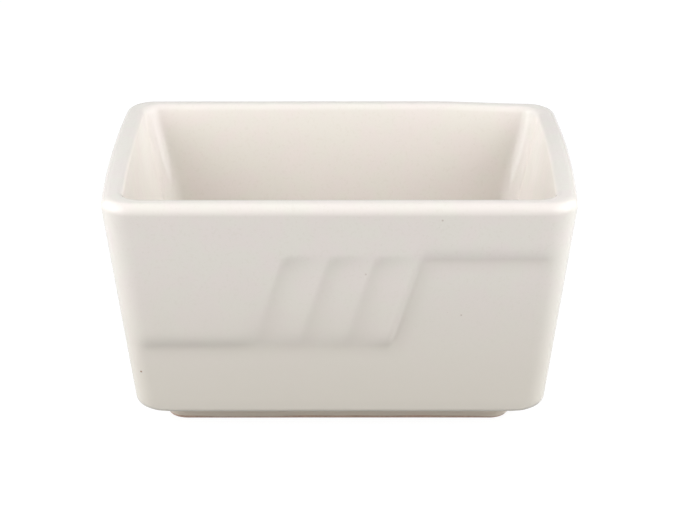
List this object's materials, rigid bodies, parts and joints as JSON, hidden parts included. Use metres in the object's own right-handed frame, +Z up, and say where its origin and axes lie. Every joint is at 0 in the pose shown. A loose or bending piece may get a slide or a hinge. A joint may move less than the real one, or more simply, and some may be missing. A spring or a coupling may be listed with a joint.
{
  "type": "sugar packet holder",
  "caption": "Flared rectangular china holder that stands sugar packets upright on a table, glazed inside and out on a bare clay foot ring, with leaning flutes moulded on its long walls.",
  "frame": {"origin": "centre of the foot ring, on the surface that it stands on", "axes": "+X along the length, +Z up, the front wall towards -Y"},
  "size_m": [0.108, 0.073, 0.059],
  "materials": {
    "fired_clay": "bare fired clay, dry and matt, seen only where the foot ring is wiped clean of glaze",
    "glaze": "warm off-white gloss glaze over clay, with a few fine brown specks"
  },
  "bodies": {
    "root": {"clay_body": "fired_clay", "glaze_coat": "glaze", "underside_glaze": "glaze"}
  },
  "joints": []
}
